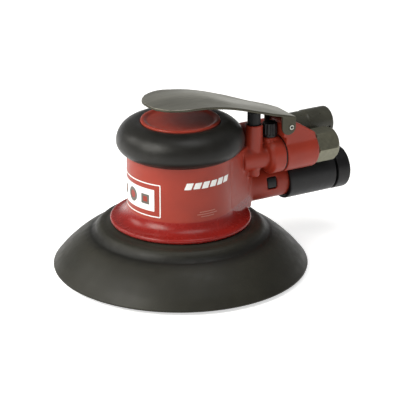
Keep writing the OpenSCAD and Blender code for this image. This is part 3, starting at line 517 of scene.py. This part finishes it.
def add_studio():
    world = bpy.data.worlds.new("studio")
    world.use_nodes = True
    bpy.context.scene.world = world
    tree = world.node_tree
    split = tree.nodes.new("ShaderNodeSeparateXYZ")
    tree.links.new(tree.nodes.new("ShaderNodeTexCoord").outputs["Generated"], split.inputs[0])
    sweep = tree.nodes.new("ShaderNodeMapRange")
    for key, number in zip(("From Min", "From Max", "To Min", "To Max"), (0.03, 0.2, 1.0, SKY)):
        sweep.inputs[key].default_value = number
    tree.links.new(split.outputs["Z"], sweep.inputs["Value"])
    tree.links.new(sweep.outputs["Result"], tree.nodes["Background"].inputs["Strength"])
    tree.nodes["Background"].inputs["Color"].default_value = (1, 1, 1, 1)
    add_lamp("key", -86, 38, 0.9, 0.5, 7.5, (1.0, 0.985, 0.92))
    add_lamp("rim", -135, 30, 1.1, 0.4, 2.5, (1.0, 0.985, 0.93))
    add_lamp("top", 20, 74, 1.0, 0.5, 2.5)
    floor = mesh_object("floor", [(-6, -6, 0), (6, -6, 0), (6, 6, 0), (-6, 6, 0)], [(0, 1, 2, 3)])
    s = Shader("pale_floor", (0.9, 0.9, 0.9), 0.85, specular=0.15)
    s.color(s.mix(s.noise(30, 4), (0.88, 0.88, 0.88), (0.92, 0.92, 0.92)))
    s.rough(s.noise(200, 3), 0.8, 0.9)
    s.bsdf.inputs["Emission Color"].default_value = (1, 1, 1, 1)
    s.bsdf.inputs["Emission Strength"].default_value = 0.62
    paint(floor, s.mat)
    bpy.context.scene.view_settings.view_transform = "Standard"


# ---------------------------------------------------------------- rubber parts

# Inner radius of the grip's round section, radius of the hole in its top, and how far the wall
# it is moulded on lies outside the motor's end plate
GRIP_INNER_R = 14.4
GRIP_HOLE_R = 24.85
GRIP_WALL_STEP = 3.2


def make_grip():
    """Round rubber ring that is pinched into a thin lip where it meets the red moulding."""
    low, high = span("palm_grip")
    radius = (high.x - low.x) / 2
    section = (radius - GRIP_INNER_R) / 2
    ring = radius - section
    mid = high.z - section
    wall = span("lower_end_plate")[1].x + GRIP_WALL_STEP
    top_r = GRIP_HOLE_R
    start = -math.acos(min(1, (wall - ring) / section))
    end = math.pi - math.acos((ring - top_r) / section)
    arc = []
    for k in range(61):
        t = start + (end - start) * k / 60
        tall = section if t > 0 else mid - low.z
        arc.append(Vector((ring + section * math.cos(t), mid + tall * math.sin(t))))
    inner = [Vector((top_r, mid + 8)), Vector((wall, mid - 4.6)), Vector((wall, arc[0].y + 0.6))]
    outline = arc + [Vector((top_r, arc[-1].y - 0.7))] + inner
    return finish_piece(revolve("palm_grip_rubber", outline, 256), "palm_grip")


# Radius of the spigot that the shroud's neck is clamped on
SPIGOT_R = 42.5


def make_shroud():
    """Soft shoulder under the flange, a shallow valley, then the wide cone and its rolled rim."""
    low, high = span("dust_shroud")
    rim = high.x
    top = high.z
    neck = SPIGOT_R
    outer = smooth_line([(neck, top - 0.1), (neck + 1.6, top - 0.4), (neck + 4.0, top - 1.2),
                         (neck + 6.4, top - 1.5), (neck + 8.3, top - 2.1), (neck + 10.0, top - 3.5),
                         (neck + 11.6, top - 5.4), (neck + 13.4, top - 7.0), (neck + 15.4, top - 8.0),
                         (neck + 18, top - 9.5), (neck + 21, top - 11.5), (neck + 25.6, top - 15.1),
                         (neck + 29.7, top - 18.9), (neck + 33.2, top - 22.4), (rim - 2.2, top - 25.6),
                         (rim - 0.45, low.z + 1.3)], 6)
    lip = [(rim - 0.05, low.z + 0.75), (rim - 0.25, low.z + 0.15), (rim - 0.8, low.z),
           (rim - 1.6, low.z + 0.05), (rim - 2.05, low.z + 0.5)]
    inner = smooth_line([(rim - 2.3, low.z + 1.2), (rim - 4.4, low.z + 3.4), (neck + 29.5, top - 21.4),
                         (neck + 25.4, top - 17.2), (neck + 19, top - 12.4), (neck + 13.2, top - 9.4),
                         (neck + 10.6, top - 7.6), (neck + 8.4, top - 5.8), (neck + 6, top - 5),
                         (neck + 3.5, top - 4.6)], 5)
    skirt = [(neck + 3.4, low.z + 22.6), (neck + 0.05, low.z + 22.5)]
    outline = [Vector(p) for p in outer] + [Vector(p) for p in lip + list(inner) + skirt]
    return finish_piece(revolve("dust_shroud_rubber", outline, 256), "dust_shroud")


# ---------------------------------------------------------------- housing

BARREL_R = 33.5
FLARE_R = 9.0
FLANGE_LIP = 1.8
FLANGE_T = 3.2


# How far a softened vertex may be from the exact curve and still be put back on it, and over
# what distance the pull fades
TRUE_REACH = 0.3
TRUE_FADE = 0.15


def true_round(mesh):
    """Puts the turned faces of the barrel, the flare and the flange's edge on their exact curves."""
    flange_r = -span("motor_housing")[0].x
    flange_z = span("dust_shroud")[1].z
    flare_mid_r = flange_r - FLANGE_LIP
    flare_mid_z = flange_z + FLANGE_T + FLARE_R

    def onto_arc(r, z, mid_r, mid_z, radius):
        scale = radius / max(math.hypot(r - mid_r, z - mid_z), 0.1)
        return mid_r + (r - mid_r) * scale, mid_z + (z - mid_z) * scale

    for vert in mesh.vertices:
        x, y, z = vert.co / MM
        r = math.hypot(x, y)
        if z > flare_mid_z:
            new_r, new_z = BARREL_R, z
        elif r < flare_mid_r:
            new_r, new_z = onto_arc(r, z, flare_mid_r, flare_mid_z, FLARE_R)
        else:
            new_r, new_z = onto_arc(r, z, flange_r - FLANGE_T / 2, flange_z + FLANGE_T / 2, FLANGE_T / 2)
        off = math.hypot(new_r - r, new_z - z)
        if off < TRUE_REACH:
            pull = min(1, (TRUE_REACH - off) / TRUE_FADE)
            turned = Vector((x * new_r / r, y * new_r / r, new_z)) * MM
            vert.co = vert.co.lerp(turned, pull)


# ---------------------------------------------------------------- lever

def crown(mesh):
    """Lets the lever's long edges droop a little from its middle line."""
    pin = Vector(JOINTS["lever_press"]["pos_m"]) / MM
    low, high = span("throttle_lever")
    palm_y = (low.y + high.y) / 2
    for vert in mesh.vertices:
        x, y = vert.co.x / MM, vert.co.y / MM
        if x > pin.x - 9 and vert.co.z / MM < pin.z + 5:
            continue
        t = min(1, max(0, (x - 8) / 26))
        centre = palm_y + (pin.y - palm_y) * t * t * (3 - 2 * t)
        drop = 1.1 * (1 - math.exp(-((y - centre) / 12.5) ** 2))
        fade = min(1, max(0, (pin.x - 2 - x) / 10))
        vert.co.z -= drop * fade * MM


# ---------------------------------------------------------------- throttle valve

def slim(mesh):
    """Takes the thickness that softening added off the plunger, so that it slides freely."""
    low, high = span("valve_plunger")
    middle = (low + high) / 2
    for vert in mesh.vertices:
        vert.co.x = (middle.x + (vert.co.x / MM - middle.x) * 0.97) * MM
        vert.co.y = (middle.y + (vert.co.y / MM - middle.y) * 0.97) * MM


def make_spring():
    """A coil spring with closed ends, which shortens as the valve goes down."""
    low, high = span("valve_spring")
    middle = (low + high) / 2
    wire = 0.3
    coil = (high.x - low.x) / 2 - 0.35
    turns = 6
    around = 24
    sides = 10
    rings = turns * around
    first = low.z + wire
    rise = high.z - low.z - 2 * wire
    verts = []
    for i in range(rings + 1):
        a = 2 * math.pi * i / around
        t = min(1, max(0, (i / around - 0.75) / (turns - 1.5)))
        for k in range(sides):
            b = 2 * math.pi * k / sides
            r = coil + wire * math.cos(b)
            z = first + rise * t + wire * math.sin(b)
            verts.append(((middle.x + r * math.cos(a)) * MM, (middle.y + r * math.sin(a)) * MM, z * MM))
    faces = [tuple(range(sides)), tuple(rings * sides + k for k in reversed(range(sides)))]
    for i in range(rings):
        for k in range(sides):
            m = (k + 1) % sides
            faces.append((i * sides + k, i * sides + m, (i + 1) * sides + m, (i + 1) * sides + k))
    obj = finish_piece(mesh_object("return_spring", verts, faces), "valve_spring")
    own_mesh(obj)
    return obj


# ---------------------------------------------------------------- hex inlet

def make_bushing():
    """Hex with chamfered ends and a real thread turned into its bore."""
    low, high = span("inlet_bushing")
    flats = high.z - low.z
    centre = Vector(((0, (low.y + high.y) / 2, (low.z + high.z) / 2)))
    face = span("inlet_barrel")[1].x
    corner = flats / 2 / math.cos(math.pi / 6)
    bore = 5.6
    sides = 6
    per_side = 12
    around = sides * per_side
    profile = []
    for x, cap in ((face, flats / 2 - 0.5), (face + 0.6, flats / 2 + 0.3), (face + 0.95, corner),
                   (high.x - 3.0, corner), (high.x - 2.0, flats / 2 + 1.0),
                   (high.x - 1.0, flats / 2 + 0.1), (high.x - 0.25, flats / 2 - 0.85),
                   (high.x, flats / 2 - 1.3)):
        profile.append((x, cap, True))
    profile += [(high.x, bore + 1.1, False), (high.x - 0.5, bore + 0.5, False)]
    turns = 9
    pitch = 1.41
    steps = 6
    thread_start = high.x - 0.9
    profile += [(thread_start - i * pitch / steps, bore, None) for i in range(turns * steps + 1)]
    profile += [(high.x - 14, bore - 0.2, False), (high.x - 14, 4.5, False),
                (low.x, 4.5, False), (low.x, 6.9, False), (face, 6.9, False)]
    verts = []
    for x, limit, kind in profile:
        for k in range(around):
            a = 2 * math.pi * k / around
            flat = flats / 2 / math.cos((a % (math.pi / 3)) - math.pi / 6)
            r = min(limit, flat) if kind else limit
            if kind is None:
                phase = ((thread_start - x) / pitch + k / around) % 1
                r = bore + 0.55 * abs(2 * phase - 1)
            verts.append(((x * MM), (centre.y + r * math.sin(a + math.pi / 6)) * MM,
                          (centre.z + r * math.cos(a + math.pi / 6)) * MM))
    faces = []
    rows = len(profile)
    for i in range(rows):
        j = (i + 1) % rows
        for k in range(around):
            m = (k + 1) % around
            faces.append((i * around + k, i * around + m, j * around + m, j * around + k))
    obj = mesh_object("inlet_hex", verts, faces)
    obj.data.set_sharp_from_angle(angle=math.radians(28))
    bevel = obj.modifiers.new("edge", "BEVEL")
    bevel.width = 0.25 * MM
    bevel.segments = 2
    bevel.limit_method = "ANGLE"
    bevel.angle_limit = math.radians(35)
    apply_modifiers(obj)
    obj.data.shade_smooth()
    obj.data.set_sharp_from_angle(angle=math.radians(35))
    return finish_piece(obj, "inlet_bushing")


# ---------------------------------------------------------------- printed graphics

PRINT_LIFT = 0.06
PRINT_THICK = 0.10


def printed_patch(name, radius, outline, material, holes=()):
    """A thin printed shape on the barrel. The outline is in (angle, height) with round corners done."""
    loops = [outline] + list(holes)
    curve = bpy.data.curves.new(name, "CURVE")
    curve.dimensions = "2D"
    curve.fill_mode = "BOTH"
    for loop in loops:
        spline = curve.splines.new("POLY")
        spline.points.add(len(loop) - 1)
        spline.use_cyclic_u = True
        for point, (u, v) in zip(spline.points, loop):
            point.co = (u, v, 0, 1)
    flat = new_object(name + "_flat", curve)
    graph = bpy.context.evaluated_depsgraph_get()
    mesh = bpy.data.meshes.new_from_object(flat.evaluated_get(graph))
    bpy.data.objects.remove(flat)
    bm = bmesh.new()
    bm.from_mesh(mesh)
    width = max(p[0] for p in outline) - min(p[0] for p in outline)
    low = min(p[0] for p in outline)
    cuts = max(1, int(width / 1.2))
    for i in range(1, cuts):
        geometry = bm.verts[:] + bm.edges[:] + bm.faces[:]
        bmesh.ops.bisect_plane(bm, geom=geometry, plane_co=(low + width * i / cuts, 0, 0),
                               plane_no=(1, 0, 0))
    shell = bmesh.ops.extrude_face_region(bm, geom=bm.faces[:])
    for item in shell["geom"]:
        if isinstance(item, bmesh.types.BMVert):
            item.co.z = PRINT_THICK
    for vert in bm.verts:
        r = radius + PRINT_LIFT + vert.co.z
        a = vert.co.x / radius
        vert.co = (r * math.cos(a) * MM, r * math.sin(a) * MM, vert.co.y * MM)
    bmesh.ops.recalc_face_normals(bm, faces=bm.faces)
    bm.to_mesh(mesh)
    bm.free()
    obj = new_object(name, mesh)
    paint(obj, material)
    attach(obj, "housing")
    return obj


def rectangle(mid, height, width, tall, corner, slant=0.0):
    """Rounded rectangle centred on an arc length and a height, leaning by slant."""
    half_w, half_t = width / 2, tall / 2
    corners = [(-half_w, -half_t, corner), (half_w, -half_t, corner),
               (half_w, half_t, corner), (-half_w, half_t, corner)]
    return [(mid + p.x + slant * p.y, height + p.y) for p in rounded(corners, 4)]


def add_graphics(white, grey, pale):
    """A plain framed plate on the front and slanted stripes on the near side."""
    radius = BARREL_R
    front = math.pi * radius
    plate_mid = 54.2
    printed_patch("front_frame", radius, rectangle(front, plate_mid, 46, 21.6, 0.8), white,
                  [rectangle(front, plate_mid, 44.6, 20.2, 0.5)])
    printed_patch("front_plate", radius, rectangle(front, plate_mid, 37.4, 14.2, 0.6), white,
                  [ring_loop(front, plate_mid, 4.6), rectangle(front - 11.8, plate_mid, 6.4, 6.4, 0.5),
                   rectangle(front + 11.8, plate_mid, 6.4, 6.4, 0.5)])
    printed_patch("front_plate_ring", radius, ring_loop(front, plate_mid, 4.5), grey,
                  [ring_loop(front, plate_mid, 2.6)])
    for i, side in enumerate((-11.8, 11.8)):
        printed_patch(f"front_plate_square_{i + 1}", radius,
                      rectangle(front + side, plate_mid, 6.3, 6.3, 0.5), grey,
                      [rectangle(front + side, plate_mid, 3.4, 3.4, 0.3)])
    side_mid = math.radians(273) * radius
    for i in range(6):
        stripe = rectangle(side_mid - 13.75 + i * 5.5, 64.8, 4.3, 4.2 - 0.3 * (i % 2), 0.25, 0.4)
        printed_patch(f"side_stripe_{i + 1}", radius, stripe, white)
    for i, length in enumerate((11, 14, 9)):
        printed_patch(f"small_line_{i + 1}", radius,
                      rectangle(side_mid - 1.5, 47.3 - 1.5 * i, length, 0.45, 0.1), pale)


def ring_loop(mid, height, radius, count=28):
    """A circle as an outline on the barrel."""
    return [(mid + radius * math.cos(2 * math.pi * k / count),
             height + radius * math.sin(2 * math.pi * k / count)) for k in range(count)]


# ---------------------------------------------------------------- pad

def make_foam_disc():
    """The pad's foam, softened and slightly swollen between its stiff faces."""
    low, high = span("pad_foam")
    mid = (low.z + high.z) / 2
    half = (high.z - low.z) / 2
    centre_x = (low.x + high.x) / 2

    def swell(mesh):
        for vert in mesh.vertices:
            x, y, z = vert.co.x / MM - centre_x, vert.co.y / MM, vert.co.z / MM
            r = math.hypot(x, y)
            side = min(1, max(0, (r - 64) / 6))
            push = 0.35 * side * (1 - ((z - mid) / half) ** 2) / max(r, 1)
            vert.co.x += x * push * MM
            vert.co.y += y * push * MM

    disc = moulded("pad_foam", "pad_foam_disc", 1.0, 2, swell)
    return disc


# The six dust holes' pitch radius, and how near their centres the hooks may stand
HOLE_PITCH_R = 40
HOLE_KEEP_OUT = 5.5
HOOK_PITCH = 1.7
HOOK_LENGTH = 0.45


def make_facing():
    """Backing sheet of the pad's face, with room under it for the hooks."""
    def thin(mesh):
        for vert in mesh.vertices:
            vert.co.z = max(vert.co.z, HOOK_LENGTH * MM)

    return moulded("pad_facing", "hook_facing", 0.5, 2, thin)


def make_hooks():
    """Rows of small mushroom-headed hooks on the pad's face, none over a dust hole."""
    low, high = span("pad_facing")
    centre_x = (low.x + high.x) / 2
    reach = (high.x - low.x) / 2 - 1
    holes = [(HOLE_PITCH_R * math.cos(i * math.pi / 3), HOLE_PITCH_R * math.sin(i * math.pi / 3))
             for i in range(6)]
    rings = ((HOOK_LENGTH + 0.05, 0.2), (0.18, 0.14), (0.14, 0.34), (0.02, 0.2))
    sides = 5
    verts = []
    faces = []
    rows = int(reach / HOOK_PITCH)
    for row in range(-rows, rows + 1):
        for column in range(-rows, rows + 1):
            x = (column + 0.5 * (row % 2)) * HOOK_PITCH
            y = row * HOOK_PITCH
            to_hole = min(math.hypot(x - u, y - v) for u, v in holes)
            if math.hypot(x, y) > reach or to_hole < HOLE_KEEP_OUT:
                continue
            base = len(verts)
            for z, r in rings:
                for k in range(sides):
                    a = 2 * math.pi * k / sides
                    side_x, side_y = r * math.cos(a), r * math.sin(a)
                    verts.append(((centre_x + x + side_x) * MM, (y + side_y) * MM, z * MM))
            for ring in range(len(rings) - 1):
                for k in range(sides):
                    a, b = base + ring * sides + k, base + ring * sides + (k + 1) % sides
                    faces.append((a, a + sides, b + sides, b))
            faces.append(tuple(range(base + sides - 1, base - 1, -1)))
            faces.append(tuple(base + (len(rings) - 1) * sides + k for k in range(sides)))
    obj = mesh_object("face_hooks", verts, faces)
    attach(obj, NODES["pad_facing"]["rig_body"])
    return obj


def make_felt_roll():
    """The muffler's felt, uneven as needled felt is."""
    def uneven(mesh):
        for vert in mesh.vertices:
            lump = noise.noise(vert.co / (2.2 * MM)) * 0.16 + noise.noise(vert.co / (0.7 * MM)) * 0.08
            vert.co -= vert.normal * (0.12 + lump) * MM

    return moulded("muffler_felt", "felt_roll", 0.4, 3, uneven)


# ---------------------------------------------------------------- build

add_camera()
add_studio()

FLARE_TOP = 0.0412
red = make_red(FLARE_TOP)
grip_rubber = make_rubber("grip_rubber", (0.012, 0.0115, 0.010), 0.32, 0.44, 2600)
# the shroud's valley at 51.5 to 56.5 mm radius gets painted shade
shroud_rubber = make_rubber("shroud_rubber", (0.019, 0.018, 0.013), 0.4, 0.52, 2200, (0.0515, 0.0565))
seal_rubber = make_rubber("seal_rubber", (0.008, 0.008, 0.008), 0.4, 0.5, 3000)
# the lever's sides and underside get a painted-shade colour
lever_steel = make_brushed("lever_steel", (0.50, 0.49, 0.42), 0.34, 0.48,
                           dark=(0.07, 0.066, 0.05))
inlet_steel = make_brushed("inlet_steel", (0.205, 0.20, 0.145), 0.34, 0.5, (400, 60, 400), 0.85)
pin_steel = make_brushed("pin_steel", (0.55, 0.55, 0.5), 0.25, 0.4, (600, 30, 600))
ground_steel = make_turned("ground_steel", (0.5, 0.5, 0.51), 0.2, 0.36)
bearing_steel = make_turned("bearing_steel", (0.62, 0.62, 0.64), 0.1, 0.2)
rotor_steel = make_turned("rotor_steel", (0.33, 0.34, 0.36), 0.28, 0.42)
cast_aluminium = make_turned("cast_aluminium", (0.6, 0.6, 0.6), 0.3, 0.45, pitch=1500)
black_oxide = make_turned("black_oxide", (0.05, 0.05, 0.055), 0.35, 0.5, metallic=0.8)
brass = make_turned("brass", (0.62, 0.43, 0.16), 0.2, 0.34)
black_plastic = make_plastic("black_plastic", (0.006, 0.006, 0.0065), 0.34, 0.46)
muffler_plastic = make_plastic("muffler_plastic", (0.05, 0.049, 0.037), 0.26, 0.36)
pad_plate_plastic = make_plastic("pad_plate_plastic", (0.03, 0.03, 0.03), 0.45, 0.6, 1500)
cage_polymer = make_plastic("cage_polymer", (0.40, 0.24, 0.09), 0.4, 0.5)
vane_laminate = make_plastic("vane_laminate", (0.28, 0.14, 0.05), 0.45, 0.6, 3500)
felt = make_cloth("felt", (0.55, 0.52, 0.42), 1800, 0.0003)
hook_cloth = make_cloth("hook_cloth", (0.045, 0.045, 0.04), 2600, 0.0003)
pad_foam = make_foam("pad_foam", (0.04, 0.04, 0.04), 1100)
white_ink = make_print("white_ink", (0.82, 0.82, 0.80))
grey_ink = make_print("grey_ink", (0.10, 0.09, 0.075))
pale_ink = make_print("pale_ink", (0.42, 0.16, 0.12))

FINISH = {
    "red_housing": red, "grip_rubber": grip_rubber, "shroud_rubber": shroud_rubber,
    "seal_rubber": seal_rubber, "black_oxide": black_oxide, "cast_aluminium": cast_aluminium,
    "ground_steel": ground_steel, "bearing_steel": bearing_steel, "cage_polymer": cage_polymer,
    "inlet_steel": inlet_steel, "brass": brass, "lever_steel": lever_steel,
    "black_plastic": black_plastic, "felt": felt, "rotor_steel": rotor_steel,
    "vane_laminate": vane_laminate, "pad_plate_plastic": pad_plate_plastic,
    "pad_foam": pad_foam, "pad_facing": hook_cloth,
}
for part in frame["record"]["subparts"]:
    paint(NODES[part["node"]], FINISH[part["material_slot"]])
paint(NODES["lever_pin"], pin_steel)

paint(make_grip(), grip_rubber)
paint(make_shroud(), shroud_rubber)
shell = moulded("motor_housing", "housing_shell", 0.5, 7, true_round,
                [(lambda x, y, z: x > 33 and z < 84 and not (x > 56 and z < 56), 12),
                 (lambda x, y, z: 5 < x < 52 and 35.6 < z < 60 and math.hypot(x, y) > BARREL_R + 0.6, 20)])
paint(shell, red)
paint(moulded("inlet_barrel", "inlet_barrel_shell", 0.4, 5,
              fillets=[(lambda x, y, z: 67 < x < 88 and 69 < z < 80, 45)]), red)
paint(moulded("throttle_lever", "lever_blade", 0.34, 4, crown), lever_steel)
paint(moulded("dust_fitting", "dust_fitting_shell", 0.42, 3), black_plastic)
paint(moulded("hose_cuff", "hose_cuff_shell", 0.4, 3), black_plastic)
paint(moulded("muffler_body", "muffler_shell", 0.3, 2), muffler_plastic)
paint(moulded("valve_plunger", "plunger_cap", 0.17, 2, slim), black_plastic)
paint(moulded("speed_regulator", "regulator_dial", 0.2, 2), black_plastic)
paint(make_bushing(), inlet_steel)
paint(make_foam_disc(), pad_foam)
paint(make_facing(), hook_cloth)
paint(make_hooks(), hook_cloth)
paint(make_felt_roll(), felt)
paint(make_spring(), ground_steel)
add_graphics(white_ink, grey_ink, pale_ink)
